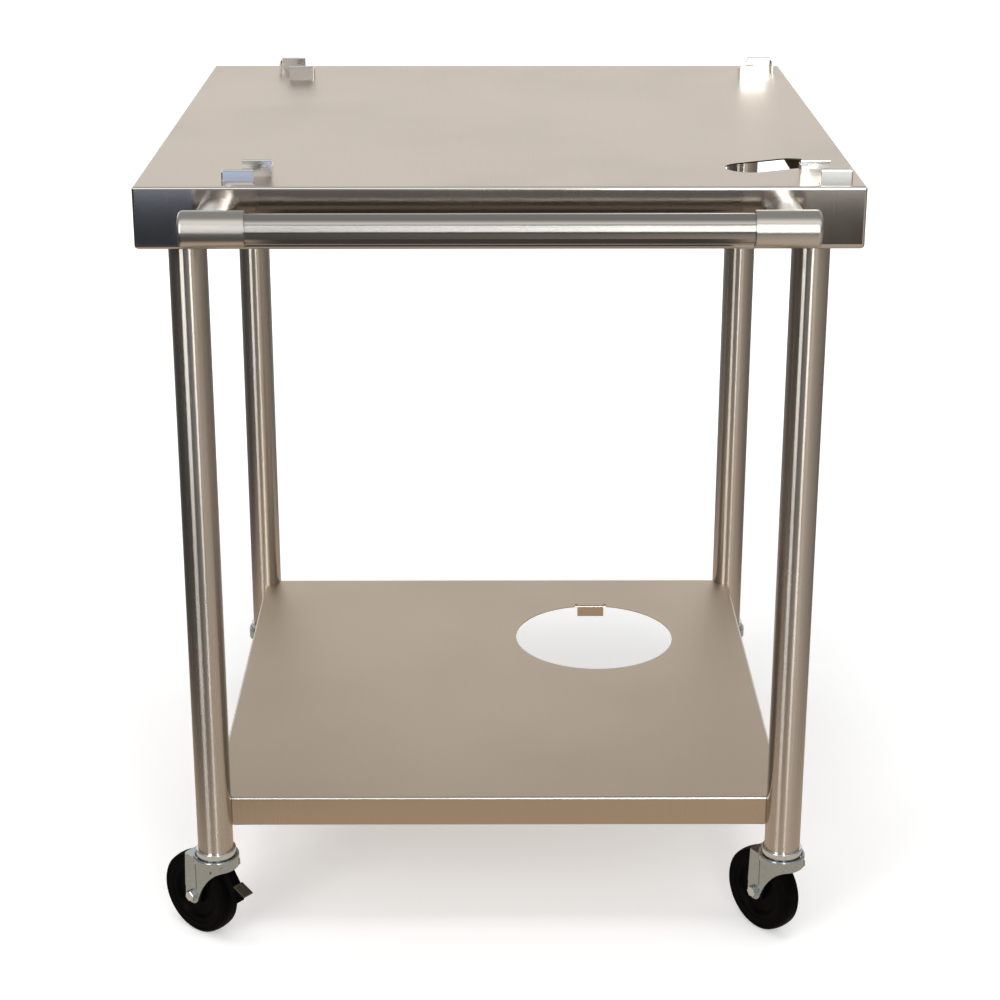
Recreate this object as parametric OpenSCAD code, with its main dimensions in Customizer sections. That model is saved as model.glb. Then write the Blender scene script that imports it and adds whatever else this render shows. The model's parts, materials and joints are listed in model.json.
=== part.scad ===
// Cart for a countertop pizza oven: a folded sheet deck on four tube legs, a shelf with a
// hole for a gas bottle, a tubular push handle and four swivel casters, two with a brake.
// Millimetres, +Z up, front towards -Y. The origin is on the floor, under the deck's middle.

/* [Deck] */
// Width of the deck
deck_w = 762; // [640:1:1000]
// Depth of the deck, front to back
deck_d = 762; // [640:1:1000]
// Height of the deck's upper face above the floor
deck_h = 914.4; // [700:0.1:1100]
// Thickness of the deck sheet
deck_t = 1.5; // [1:0.1:2.5]
// Height of the apron, from the deck's upper face to its lower edge
apron_h = 66.7; // [55:0.1:110]
// Width of the flange that turns inwards along the apron's lower edge
apron_flange = 27; // [15:0.5:45]
// Outside radius of the bend between deck and apron
deck_bend = 3; // [2.6:0.1:6]
// Outside radius of the bend between apron and flange
apron_bend = 6; // [3:0.1:10]
// Radius of the apron's upright corners
corner_r = 3; // [2.6:0.1:8]

/* [Hose port] */
// Length of the slot in the deck that the gas hose runs through
port_l = 106; // [60:1:160]
// Width of the slot
port_w = 51; // [25:1:60]
// Turn of the slot in the deck's plane, in degrees
port_turn = 25; // [0:1:90]
// Distance from the middle of the slot to the deck's right edge
port_from_right = 88; // [70:1:150]
// Distance from the middle of the slot to the deck's front edge
port_from_front = 108; // [70:1:200]

/* [Stiffening channels] */
// Distance from the deck's middle to each channel
channel_x = 150; // [60:1:200]
// Width of a channel's web
channel_w = 40; // [25:1:60]
// Depth of a channel
channel_h = 22; // [10:1:35]
// Width of each of a channel's flanges
channel_flange = 15; // [8:1:25]
// Thickness of the channel sheet
channel_t = 1.5; // [1:0.1:3]

/* [Oven foot clips] */
// Distance between the left and right foot pockets
foot_pitch_x = 603.5; // [400:0.5:640]
// How far the oven stands to the right of the deck's middle
foot_shift_x = 38.75; // [0:0.25:60]
// Width of a foot pocket, between its two end walls
pocket_w = 47.5; // [40:0.5:70]
// Depth of a front foot pocket
pocket_front_d = 48; // [40:0.5:70]
// Depth of a rear foot pocket, longer so that the oven drops in and slides forward
pocket_rear_d = 66; // [40:0.5:90]
// Distance from the deck's front bend to the front clips
clip_front_gap = 0.5; // [0:0.1:30]
// Distance from the front pockets to the rear pockets
pocket_gap_y = 594; // [380:1:700]
// Width of a clip
clip_w = 33; // [20:0.5:38]
// Height of a clip above the deck
clip_h = 18.3; // [14:0.1:35]
// Thickness of the clip sheet
clip_t = 1.2; // [0.8:0.1:2]
// Depth of the open hem along a clip's upper edge
clip_hem = 8.6; // [4:0.1:10]
// Space inside the hem
clip_hem_gap = 1.2; // [0.6:0.1:2]
// Depth of a clip's base flange
clip_base = 14; // [8:0.5:25]
// Depth of a clip's end wall
clip_wall = 19; // [10:0.5:25]
// Outside radius of the upright bend between a clip's riser and its end wall
clip_bend = 2; // [1.8:0.1:5]

/* [Handle] */
// Distance from the deck's upper face down to the handle's axis
handle_drop = 28.4; // [20:0.1:45]
// Distance from the apron to the handle's axis
handle_reach = 66; // [40:1:110]
// Outside diameter of the handle tube
handle_od = 31.75; // [25:0.05:34]
// Wall of the handle tube
handle_wall = 1.5; // [1:0.1:3]
// Outside diameter of the bracket's sleeve and post
bracket_od = 38.1; // [37:0.1:44]
// Distance from the deck's middle to each post
post_x = 295; // [200:1:340]
// Length of the sleeve on the inner side of the post's middle
sleeve_in = 37.4; // [25:0.1:60]
// Length of the sleeve on the outer side of the post's middle, with its closed end
sleeve_out = 29.5; // [26:0.1:40]
// Radius of the round edge at the sleeve's closed end
sleeve_edge_r = 4.5; // [1:0.1:6]
// Thickness of the sleeve's closed end
sleeve_end_t = 6; // [3:0.1:12]
// Play between the handle tube and its sleeve, all round
sleeve_play = 0.06; // [0.04:0.01:0.3]

/* [Legs] */
// Outside diameter of a leg
leg_od = 41.3; // [38:0.1:50]
// Wall of a leg
leg_wall = 1.5; // [1.2:0.1:2.5]
// Space between a leg and the edge of the apron's flange
leg_gap = 1.35; // [0.5:0.05:10]
// Length of the plug that a leg's upper end slides over
socket_l = 55; // [40:1:90]
// Width of the plate that holds the plug, narrow enough to stay clear of the hose port
socket_plate_w = 64; // [50:1:66]
// Thickness of that plate
socket_plate_t = 3; // [2:0.5:6]
// Wall of the plug
socket_wall = 2.5; // [2:0.1:4]
// Play between a leg and its plug, all round
socket_play = 0.1; // [0.05:0.01:0.5]
// Length of the threaded end piece welded into a leg's foot
leg_end_l = 30; // [15:1:50]

/* [Shelf] */
// Height of the shelf's upper face above the floor
shelf_h = 182; // [165:1:500]
// Thickness of the shelf sheet
shelf_t = 1.2; // [0.9:0.1:2.5]
// Height of the shelf's lip
shelf_lip = 36; // [30:0.5:45]
// Width of the flange that turns inwards under the lip
shelf_flange = 12; // [5:0.5:18]
// Outside radius of the shelf's bends
shelf_bend = 2.6; // [2:0.1:5]
// Space between a leg and the shelf's notched corner
notch_gap = 0.3; // [0.1:0.05:1]
// Thickness of the curved saddle inside each corner of the shelf
saddle_t = 2; // [1.5:0.1:4]

/* [Gas bottle hole] */
// Diameter of the hole in the shelf
bottle_hole_d = 211; // [150:1:320]
// Distance from the shelf's middle to the middle of the hole, to the right and to the back
bottle_shift = 131; // [0:1:140]
// Width of the tab that is bent down at the back of the hole
tab_w = 36.5; // [20:0.5:60]
// Height of the tab
tab_h = 16; // [8:0.5:30]
// Width of the relief slot at each side of the tab
tab_relief = 3.5; // [2:0.1:6]
// Distance from the hole's circle back to the tab
tab_clear = 0.5; // [0.2:0.1:4]

/* [Screws] */
// Diameter of the flange screws
screw_d = 6; // [5:0.5:8]
// Length of a screw under its head
screw_l = 14; // [10:0.5:18]
// Diameter of a screw's flange
screw_flange_d = 13; // [12:0.5:18]
// Height of a screw's head
screw_head_h = 5; // [3:0.5:8]
// Play between a screw and its hole, all round
screw_play = 0.1; // [0.05:0.01:0.5]

/* [Caster wheels] */
// Diameter of a wheel
wheel_d = 101.6; // [90:0.1:125]
// Width of a wheel
wheel_w = 24; // [20:0.5:32]
// How much the tread falls away from its middle to its edge
tread_crown = 1.8; // [0.5:0.1:3]
// Radial thickness of the rubber tyre
tyre_depth = 15; // [8:0.5:20]
// Diameter of the hub's middle boss
boss_d = 26; // [20:0.5:40]
// Radial thickness of the hub's rim
hub_rim_t = 3.5; // [2:0.1:6]
// Depth of the dish in each side of the hub
hub_dish = 4; // [1:0.1:7]
// Diameter of the axle bolt
axle_d = 8; // [6:0.5:10]
// Outside diameter of the bush that the wheel turns on
bush_d = 13; // [12.5:0.5:16]
// Play of every turning fit, all round
run_play = 0.05; // [0.02:0.01:0.1]
// Space between parts that turn past each other
side_play = 0.3; // [0.2:0.05:1]

/* [Caster forks] */
// Distance from the swivel axis back to the axle
trail = 28; // [20:0.5:34]
// Thickness of the fork sheet
fork_t = 2.5; // [2:0.1:3.5]
// Distance from the wheel's tread up to the fork plate
tread_gap = 1.7; // [1:0.1:6]
// Diameter of the fork's round top
fork_top_d = 54; // [50:0.5:70]
// Height of the rim round the fork's top
fork_rim_h = 4.6; // [3.5:0.1:7]
// Height of the skirt that hangs from the front of the fork's top
fork_skirt = 7; // [3:0.5:9]
// Radius of the fork's legs round the axle
fork_end_r = 10.5; // [9:0.1:14]
// Radius of the long hollow sweep along the front of each fork leg
sweep_r = 85.5; // [70:0.5:110]
// Direction from the axle to the middle of that sweep, in degrees
sweep_turn = 198; // [190:1:205]
// How far the hood reaches back past the axle
hood_reach = 8; // [4:0.5:14]
// How far the raised band stands out of each fork leg
band_t = 0.8; // [0.4:0.1:1.5]
// Distance from the axle forward to the raised band's front edge
band_ahead = 8; // [2:0.5:12]
// Diameter of the kingpin and of its threaded stem
kingpin_d = 12; // [10:0.5:14]
// Diameter of the bearing balls
ball_d = 6; // [5:0.5:7]
// Number of bearing balls
ball_count = 12; // [8:1:14]
// Diameter of the ball track
ball_track_d = 37; // [32:0.5:40]
// Diameter of the caster's head, above the balls
head_d = 47; // [45:0.5:48]
// Height of the head
head_h = 6.5; // [5:0.1:12]
// Open gap between the head and the fork's rim
head_gap = 1.8; // [1:0.1:3]

/* [Caster headings] */
// Way that the front left wheel trails, in degrees from +X
front_left_heading = 141; // [0:1:359]
// Way that the front right wheel trails
front_right_heading = 126; // [0:1:359]
// Way that the rear left wheel trails
rear_left_heading = 88; // [0:1:359]
// Way that the rear right wheel trails
rear_right_heading = 101; // [0:1:359]

/* [Caster brake] */
// Distance from the swivel axis forward to the brake's pivot
brake_pivot_x = 15; // [13:0.5:17]
// Diameter of the brake's pivot pin
brake_pin_d = 5; // [4:0.5:6]
// Width of the brake lever
lever_w = 12; // [8:0.5:18]
// Thickness of the brake shoe in front of the tread
shoe_t = 8; // [6:0.5:14]
// Turn of the lever from free to braked, in degrees
brake_turn = 8; // [4:0.5:10]
// Space left between the shoe and the tread when the brake is on
shoe_gap = 1.4; // [0.3:0.1:2]
// Length of the brake pad
pad_l = 19; // [14:0.5:30]
// Width of the brake pad
pad_w = 14; // [10:0.5:22]
// Thickness of the brake pad
pad_t = 1.5; // [1:0.1:3]
// Slope of the brake pad below the level, in degrees
pad_slope = 25; // [10:1:40]
// Distance from the brake's pivot forward to the pad's inner edge
pad_ahead = 19; // [16:0.5:24]
// Distance from the brake's pivot down to that edge
pad_drop = 18.5; // [12:0.5:24]

/* [Hidden] */
$fn = 64;
eps = 0.01;
// How far a shape runs past the face that it cuts or joins.
lap = 1;
STEEL = [0.78, 0.77, 0.75];
SHELF_STEEL = [0.62, 0.58, 0.55];
ZINC = [0.72, 0.73, 0.74];
RUBBER = [0.06, 0.06, 0.06];
PLASTIC = [0.1, 0.1, 0.1];

// The legs stand just inside the apron's flange, and the shelf's edges run through their axes.
leg_r = leg_od / 2;
leg_x = deck_w / 2 - apron_flange - leg_gap - leg_r;
leg_y = deck_d / 2 - apron_flange - leg_gap - leg_r;
leg_bore_r = leg_r - leg_wall;
deck_under = deck_h - deck_t;
socket_z = deck_under - socket_plate_t;
plug_r = leg_bore_r - socket_play;
leg_screw_z = socket_z - socket_l / 2;
plate_corner_r = 8;
shelf_under = shelf_h - shelf_t;
shelf_screw_z = shelf_h - shelf_lip / 2;
notch_r = leg_r + notch_gap;
saddle_r = notch_r + saddle_t;
bottle_r = bottle_hole_d / 2;
handle_z = deck_h - handle_drop;
handle_y = -deck_d / 2 - handle_reach;
port_x = deck_w / 2 - port_from_right;
port_y = -deck_d / 2 + port_from_front;

// Each caster is stacked up from the floor: wheel, fork plate, balls and head.
wheel_r = wheel_d / 2;
fork_plate_z = wheel_d + tread_gap;
fork_plate_top = fork_plate_z + fork_t;
fork_rim_z = fork_plate_z + fork_t + fork_rim_h;
head_z = fork_rim_z + head_gap;
caster_h = head_z + head_h;
wheel_gap = 1;
fork_gap = wheel_w + 2 * wheel_gap;
fork_half = fork_gap / 2 + fork_t;
fork_top_r = fork_top_d / 2;
fork_rim_t = 3;
fork_back_x = trail + hood_reach;
kingpin_r = kingpin_d / 2;
kingpin_head_edge = 3;
kingpin_head_r = kingpin_r + kingpin_head_edge;
kingpin_head_h = 3.7;
ball_r = ball_d / 2;
ball_sink = 0.6;
ball_z = fork_plate_top + ball_r - ball_sink;
track_r = ball_track_d / 2;
race_z = ball_z + ball_r / 2;
race_gap = 1.5;
race_r = fork_top_r - fork_rim_t - race_gap;
hub_r = wheel_r - tyre_depth;
axle_r = axle_d / 2;
bush_r = bush_d / 2;
brake_pivot_z = fork_plate_z - fork_t - side_play - brake_pin_d / 2;
lever_eye_wall = 2;
lever_eye_r = brake_pin_d / 2 + lever_eye_wall;
pin_head_edge = 1.2;
pin_head_d = brake_pin_d + 2 * pin_head_edge;
pin_head_h = 1.5;
pad_x = -brake_pivot_x - pad_ahead;
pad_z = brake_pivot_z - pad_drop;

// Corner names, with the leg's side in X and Y, the wheel's heading and the brake.
CORNERS = ["front_left", "front_right", "rear_left", "rear_right"];
SIDES = [[-1, -1], [1, -1], [-1, 1], [1, 1]];
HEADINGS = [front_left_heading, front_right_heading, rear_left_heading, rear_right_heading];

// A flat section, wide in X and standing on Y = 0, with its own radius at top and bottom.
module folded_section(w, h, top_r, low_r) {
    square_x = w / 2;
    translate([-square_x, low_r]) square([w, h - top_r - low_r]);
    translate([-square_x + top_r, h - 2 * top_r]) square([w - 2 * top_r, 2 * top_r]);
    translate([-square_x + low_r, 0]) square([w - 2 * low_r, 2 * low_r]);
    for (s = [-1, 1]) {
        translate([s * (square_x - top_r), h - top_r]) circle(r = top_r);
        translate([s * (square_x - low_r), low_r]) circle(r = low_r);
    }
}

// A block of that section along both X and Y, with its lower face at Z = 0.
module folded_block(w, d, h, top_r, low_r) {
    intersection() {
        translate([0, d / 2, 0]) rotate([90, 0, 0])
            linear_extrude(d) folded_section(w, h, top_r, low_r);
        translate([-w / 2, 0, 0]) rotate([90, 0, 90])
            linear_extrude(w) folded_section(d, h, top_r, low_r);
    }
}

// A tray folded from one sheet: a flat top, four upright walls and an inward flange below.
module folded_tray(w, d, h, t, bend, low_bend, flange) {
    difference() {
        folded_block(w, d, h, bend, low_bend);
        translate([0, 0, t])
            folded_block(w - 2 * t, d - 2 * t, h - 2 * t, bend - t, low_bend - t);
        translate([flange - w / 2, flange - d / 2, -eps])
            cube([w - 2 * flange, d - 2 * flange, 2 * t]);
    }
}

// A slot with round ends, its length along X.
module slot(l, w) {
    square([l - w, w], center = true);
    for (s = [-1, 1])
        translate([s * (l - w) / 2, 0]) circle(d = w);
}

// A plate outline with round corners.
module round_plate(w, d, r) {
    square([w, d - 2 * r], center = true);
    square([w - 2 * r, d], center = true);
    for (x = [-1, 1], y = [-1, 1])
        translate([x * (w / 2 - r), y * (d / 2 - r)]) circle(r = r);
}

module deck() {
    color(STEEL) difference() {
        intersection() {
            translate([0, 0, deck_h - apron_h])
                folded_tray(deck_w, deck_d, apron_h, deck_t, deck_bend, apron_bend, apron_flange);
            translate([0, 0, deck_h - apron_h])
                linear_extrude(apron_h) round_plate(deck_w, deck_d, corner_r);
        }
        translate([port_x, port_y, deck_under - lap])
            rotate(port_turn) linear_extrude(deck_t + 2 * lap) slot(port_l, port_w);
        for (s = [-1, 1])
            translate([s * post_x, deck_t - deck_d / 2 + lap, handle_z])
                rotate([90, 0, 0]) cylinder(r = screw_d / 2 + screw_play, h = deck_t + 2 * lap);
    }
}

// A hat channel that runs from apron to apron, its flanges welded under the deck.
module channel(side) {
    end_gap = 1;
    channel_l = deck_d - 2 * (deck_t + end_gap);
    color(STEEL) translate([side * channel_x, channel_l / 2, deck_under]) rotate([90, 0, 0])
        linear_extrude(channel_l) union() {
            translate([-channel_w / 2, -channel_h]) square([channel_w, channel_t]);
            for (s = [-1, 1]) {
                translate([s * (channel_w - channel_t) / 2, -channel_h / 2])
                    square([channel_t, channel_h], center = true);
                translate([s * (channel_w + channel_flange - channel_t) / 2, -channel_t / 2])
                    square([channel_flange + channel_t, channel_t], center = true);
            }
        }
}

// Places a part at a leg's axis, with local +X towards the deck's middle.
module at_leg(i) {
    translate([SIDES[i][0] * leg_x, SIDES[i][1] * leg_y, 0])
        rotate(atan2(-SIDES[i][1], -SIDES[i][0])) children();
}

// A hole towards the middle of the cart for a flange screw.
module screw_bore(z) {
    translate([0, 0, z]) rotate([0, 90, 0]) cylinder(r = screw_d / 2 + screw_play, h = leg_od);
}

// The plate is square to the deck, and the plug below it goes into the leg.
module socket(i) {
    plate_turn = atan2(-SIDES[i][1], -SIDES[i][0]);
    color(STEEL) at_leg(i) difference() {
        union() {
            translate([0, 0, socket_z]) rotate(-plate_turn)
                linear_extrude(socket_plate_t) round_plate(socket_plate_w, socket_plate_w, plate_corner_r);
            translate([0, 0, socket_z - socket_l]) cylinder(r = plug_r, h = socket_l);
        }
        translate([0, 0, socket_z - socket_l - lap])
            cylinder(r = plug_r - socket_wall, h = socket_l + lap);
        screw_bore(leg_screw_z);
    }
}

// A tube with a threaded end piece welded into its foot.
module leg(i) {
    color(STEEL) at_leg(i) difference() {
        translate([0, 0, caster_h]) cylinder(r = leg_r, h = socket_z - caster_h);
        translate([0, 0, caster_h + leg_end_l]) cylinder(r = leg_bore_r, h = deck_h);
        translate([0, 0, caster_h - lap])
            cylinder(r = kingpin_r + run_play, h = leg_end_l + 2 * lap);
        screw_bore(leg_screw_z);
        screw_bore(shelf_screw_z);
    }
}

// The curved saddle fills the shelf's corner between its two lips and follows the leg.
module saddle(i) {
    corner = saddle_r + lap;
    saddle_h = shelf_lip - 2 * shelf_bend;
    inwards = (corner + shelf_t) / 2;
    translate([SIDES[i][0] * leg_x, SIDES[i][1] * leg_y, shelf_h - shelf_lip + shelf_bend])
        difference() {
            intersection() {
                cylinder(r = saddle_r, h = saddle_h);
                translate([-SIDES[i][0] * inwards, -SIDES[i][1] * inwards, saddle_h / 2])
                    cube([corner, corner, saddle_h], center = true);
            }
            translate([0, 0, -lap]) cylinder(r = notch_r, h = saddle_h + 2 * lap);
        }
}

// The tab hangs from the far end of a notch in the hole's rim, clear of the hole's circle,
// with a relief slot at each of its sides.
module shelf() {
    tab_face_y = bottle_shift + bottle_r + tab_clear;
    notch_end_y = tab_face_y + shelf_bend + tab_relief;
    color(SHELF_STEEL) difference() {
        union() {
            difference() {
                translate([0, 0, shelf_h - shelf_lip])
                    folded_tray(
                        2 * leg_x, 2 * leg_y, shelf_lip, shelf_t, shelf_bend, shelf_bend, shelf_flange);
                translate([bottle_shift, bottle_shift, shelf_under - lap]) {
                    cylinder(r = bottle_r, h = shelf_t + 2 * lap, $fn = 128);
                    translate([-tab_w / 2 - tab_relief, 0, 0])
                        cube([tab_w + 2 * tab_relief, notch_end_y - bottle_shift, shelf_t + 2 * lap]);
                }
            }
            translate([bottle_shift - tab_w / 2, tab_face_y, shelf_h - tab_h])
                cube([tab_w, shelf_t, tab_h - shelf_bend]);
            translate([bottle_shift, tab_face_y + shelf_bend, shelf_h - shelf_bend])
                rotate([0, 90, 0]) bend(shelf_bend, shelf_t, tab_w);
            translate([bottle_shift - tab_w / 2, tab_face_y + shelf_bend, shelf_under])
                cube([tab_w, tab_relief + lap, shelf_t]);
            for (i = [0:3]) saddle(i);
        }
        for (i = [0:3]) at_leg(i) {
            translate([0, 0, shelf_h - shelf_lip - lap])
                cylinder(r = notch_r, h = shelf_lip + 2 * lap);
            screw_bore(shelf_screw_z);
        }
    }
}

// A quarter bend of sheet about the Z axis, on the side of -X and -Y, centred on Z = 0.
module bend(r, t, l) {
    intersection() {
        difference() {
            cylinder(r = r, h = l, center = true);
            cylinder(r = r - t, h = l + 2 * lap, center = true);
        }
        translate([-r - lap, -r - lap, -l / 2 - lap]) cube([r + lap, r + lap, l + 2 * lap]);
    }
}

// A hexagon flange screw, its head's underside on Z = 0 and its thread towards -Z.
module flange_screw() {
    flange_t = 1.2;
    corner_share = 1.8;
    translate([0, 0, -screw_l]) cylinder(d = screw_d, h = screw_l + lap);
    cylinder(d = screw_flange_d, h = flange_t);
    cylinder(d = screw_d * corner_share, h = screw_head_h, $fn = 6);
}

// Screws hold each leg to its plug, the shelf to each leg and the handle to the apron.
module flange_screws() {
    seat = 0.05;
    color(ZINC) {
        for (i = [0:3]) at_leg(i) {
            translate([leg_r + seat, 0, leg_screw_z]) rotate([0, 90, 0]) flange_screw();
            translate([saddle_r + seat, 0, shelf_screw_z]) rotate([0, 90, 0]) flange_screw();
        }
        for (s = [-1, 1])
            translate([s * post_x, deck_t - deck_d / 2, handle_z])
                rotate([-90, 0, 0]) flange_screw();
    }
}

module handle_tube() {
    end_gap = 0.5;
    handle_l = 2 * (post_x + sleeve_out - sleeve_end_t - end_gap);
    color(STEEL) translate([0, handle_y, handle_z]) rotate([0, 90, 0]) difference() {
        cylinder(d = handle_od, h = handle_l, center = true);
        cylinder(d = handle_od - 2 * handle_wall, h = handle_l + 2 * lap, center = true);
    }
}

// The sleeve's solid form along Z, with its round edge at the upper end.
module sleeve_body() {
    base_r = bracket_od / 2;
    flat_r = base_r - sleeve_edge_r;
    straight_l = sleeve_in + sleeve_out - sleeve_edge_r;
    rotate_extrude() {
        translate([0, -sleeve_in]) square([base_r, straight_l]);
        translate([0, sleeve_out - 2 * sleeve_edge_r]) square([flat_r, 2 * sleeve_edge_r]);
        translate([flat_r, sleeve_out - sleeve_edge_r]) circle(r = sleeve_edge_r);
    }
}

// One casting: a blind sleeve for the tube and a post that the apron's screw goes into.
module handle_bracket(side) {
    color(STEEL) translate([side * post_x, handle_y, handle_z]) difference() {
        union() {
            rotate([0, side * 90, 0]) sleeve_body();
            rotate([-90, 0, 0]) cylinder(d = bracket_od, h = handle_reach);
        }
        rotate([0, side * 90, 0]) translate([0, 0, -sleeve_in - lap])
            cylinder(d = handle_od + 2 * sleeve_play, h = sleeve_in + sleeve_out - sleeve_end_t + lap);
        translate([0, handle_reach - screw_l, 0]) rotate([-90, 0, 0])
            cylinder(r = screw_d / 2 + screw_play, h = screw_l + lap);
    }
}

// A bent sheet clip with its riser's front face on Y = 0 and its width centred on X = 0.
// The open hem faces forward and the base flange lies behind. An upright bend carries the
// end wall at one end, and the hem and the flange stop short of that bend.
// wall_x is the end wall's side and wall_y is 1 for a wall behind the riser, -1 for one before.
module clip(wall_x, wall_y) {
    hem_t = 2 * clip_t + clip_hem_gap;
    hem_r = hem_t / 2;
    face_w = clip_w - clip_bend;
    wall_h = clip_h - hem_t;
    wall_l = clip_wall + clip_t - clip_bend;
    bend_y = wall_y > 0 ? clip_bend : clip_t - clip_bend;
    bend_turn = wall_y > 0 ? 45 + 45 * wall_x : 225 - 45 * wall_x;
    color(STEEL) translate([0, 0, deck_h]) {
        translate([-wall_x * clip_bend / 2, 0, 0]) {
            translate([-face_w / 2, 0, 0]) cube([face_w, clip_t, clip_h - hem_r]);
            translate([-face_w / 2, 0, 0]) cube([face_w, clip_base, clip_t]);
            translate([-face_w / 2, clip_t - hem_t, clip_h - clip_hem])
                cube([face_w, clip_t, clip_hem - hem_r]);
            translate([0, clip_t - hem_r, clip_h - hem_r]) rotate([0, 90, 0]) intersection() {
                difference() {
                    cylinder(r = hem_r, h = face_w, center = true);
                    cylinder(r = hem_r - clip_t, h = face_w + 2 * lap, center = true);
                }
                translate([-hem_r, 0, 0]) cube([2 * hem_r, 3 * hem_r, 2 * clip_w], center = true);
            }
        }
        translate([wall_x * (clip_w / 2 - clip_bend), bend_y, wall_h / 2])
            rotate(bend_turn) bend(clip_bend, clip_t, wall_h);
        translate([wall_x * (clip_w - clip_t) / 2, bend_y + wall_y * wall_l / 2, wall_h / 2])
            cube([clip_t, wall_l, wall_h], center = true);
    }
}

// The outer clip of a pocket is nearer the deck's edge, the inner one nearer its middle.
// Each one holds the foot on one side in Y and, by its end wall, on one side in X.
module foot_clip(i, outer) {
    side = SIDES[i][0];
    rear = SIDES[i][1] > 0;
    pocket_x = foot_shift_x + side * foot_pitch_x / 2;
    wall_side = outer ? side : -side;
    front_y = deck_bend - deck_d / 2 + clip_front_gap;
    rear_y = front_y + clip_t + pocket_front_d + clip_t + pocket_gap_y;
    near_y = rear ? rear_y : front_y;
    far_y = near_y + clip_t + (rear ? pocket_rear_d : pocket_front_d);
    before_foot = (outer && !rear) || (!outer && rear);
    clip_x = pocket_x + wall_side * (pocket_w / 2 + clip_t - clip_w / 2);
    translate([clip_x, before_foot ? near_y : far_y, 0]) clip(wall_side, before_foot ? 1 : -1);
}

// Places a caster part at a leg's axis, with local +X along the way the wheel trails.
module at_caster(i) {
    translate([SIDES[i][0] * leg_x, SIDES[i][1] * leg_y, 0]) rotate(HEADINGS[i]) children();
}

// A ball groove of a given section radius, round the swivel axis.
module groove(r) {
    rotate_extrude() translate([track_r, ball_z]) circle(r = r);
}

// Threaded stem, head and kingpin, riveted into one piece that stays with the leg.
module caster_head(i) {
    edge = 1.2;
    stem_inset = 1;
    stem_top = caster_h + leg_end_l - stem_inset;
    kingpin_end = fork_plate_z - side_play;
    color(ZINC) at_caster(i) difference() {
        rotate_extrude() union() {
            translate([0, kingpin_end - kingpin_head_h]) square([kingpin_head_r, kingpin_head_h]);
            translate([0, kingpin_end - lap]) square([kingpin_r, stem_top - kingpin_end + lap]);
            translate([0, race_z]) square([race_r, head_z - race_z + lap]);
            translate([0, head_z]) square([head_d / 2 - edge, head_h]);
            translate([0, head_z]) square([head_d / 2, head_h - edge]);
            translate([head_d / 2 - edge, caster_h - edge]) circle(r = edge);
        }
        groove(ball_r + side_play);
    }
}

module balls(i) {
    color(ZINC) at_caster(i)
        for (k = [0:ball_count - 1])
            rotate(k * 360 / ball_count) translate([track_r, 0, ball_z]) sphere(r = ball_r, $fn = 24);
}

// Side view of a fork leg: upright at the back, a round end at the axle and a long
// hollow sweep that leaves the round end smoothly and runs up to the front of the fork's top.
module fork_leg_outline() {
    front_x = -fork_top_r + fork_rim_t;
    sweep_far = sweep_r + fork_end_r;
    difference() {
        union() {
            polygon([
                [front_x, fork_plate_z + lap],
                [front_x, wheel_r],
                [trail, wheel_r],
                [trail + fork_end_r, wheel_r],
                [fork_back_x, fork_plate_z + lap]
            ]);
            translate([trail, wheel_r]) circle(r = fork_end_r);
        }
        translate([trail + sweep_far * cos(sweep_turn), wheel_r + sweep_far * sin(sweep_turn)])
            circle(r = sweep_r, $fn = 128);
    }
}

// A pressed fork: a round top with a raised rim, a hood over the wheel and two legs.
module fork(i, braked) {
    hood_edge = 3;
    hood_half = fork_half + hood_edge;
    hood_root_r = hood_half + 1;
    hood_corner = 5;
    skirt_end_x = -5;
    band_l = 30;
    pin_room = pin_head_h + side_play;
    color(ZINC) at_caster(i) difference() {
        union() {
            translate([0, 0, fork_plate_z]) linear_extrude(fork_t) {
                circle(r = fork_top_r);
                hull() {
                    circle(r = hood_root_r, $fn = 32);
                    for (s = [-1, 1])
                        translate([fork_back_x - hood_corner, s * (hood_half - hood_corner)])
                            circle(r = hood_corner, $fn = 32);
                }
            }
            rotate_extrude() {
                translate([fork_top_r - fork_rim_t, fork_plate_z])
                    square([fork_rim_t, fork_t + fork_rim_h - fork_rim_t / 2]);
                translate([fork_top_r - fork_rim_t / 2, fork_rim_z - fork_rim_t / 2])
                    circle(d = fork_rim_t);
            }
            intersection() {
                translate([0, 0, fork_plate_z - fork_skirt]) difference() {
                    cylinder(r = fork_top_r, h = fork_skirt + lap);
                    translate([0, 0, -lap])
                        cylinder(r = fork_top_r - fork_t, h = fork_skirt + 3 * lap);
                }
                translate([-fork_top_r - lap, -fork_top_r - lap, 0])
                    cube([fork_top_r + lap + skirt_end_x, fork_top_d + 2 * lap, fork_plate_top]);
            }
            for (s = [-1, 1])
                translate([0, s * (fork_half - fork_t / 2), 0]) rotate([90, 0, 0])
                    linear_extrude(fork_t, center = true) fork_leg_outline();
            for (s = [-1, 1])
                translate([0, s * (fork_half + (band_t - lap) / 2), 0]) rotate([90, 0, 0])
                    linear_extrude(band_t + lap, center = true) intersection() {
                        fork_leg_outline();
                        translate([trail - band_ahead, wheel_r + fork_end_r])
                            square([band_l, fork_plate_z]);
                    }
        }
        cylinder(r = kingpin_r + run_play, h = caster_h);
        groove(ball_r + run_play);
        translate([trail, 0, wheel_r]) rotate([90, 0, 0])
            cylinder(r = axle_r + run_play, h = 4 * fork_half, center = true);
        if (braked)
            translate([-brake_pivot_x, 0, brake_pivot_z]) rotate([90, 0, 0]) {
                cylinder(r = brake_pin_d / 2 + run_play, h = 4 * fork_half, center = true);
                for (s = [-1, 1])
                    translate([0, 0, s * (fork_half + pin_room / 2)])
                        cylinder(d = pin_head_d + 2 * side_play, h = pin_room, center = true);
            }
    }
}

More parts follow.
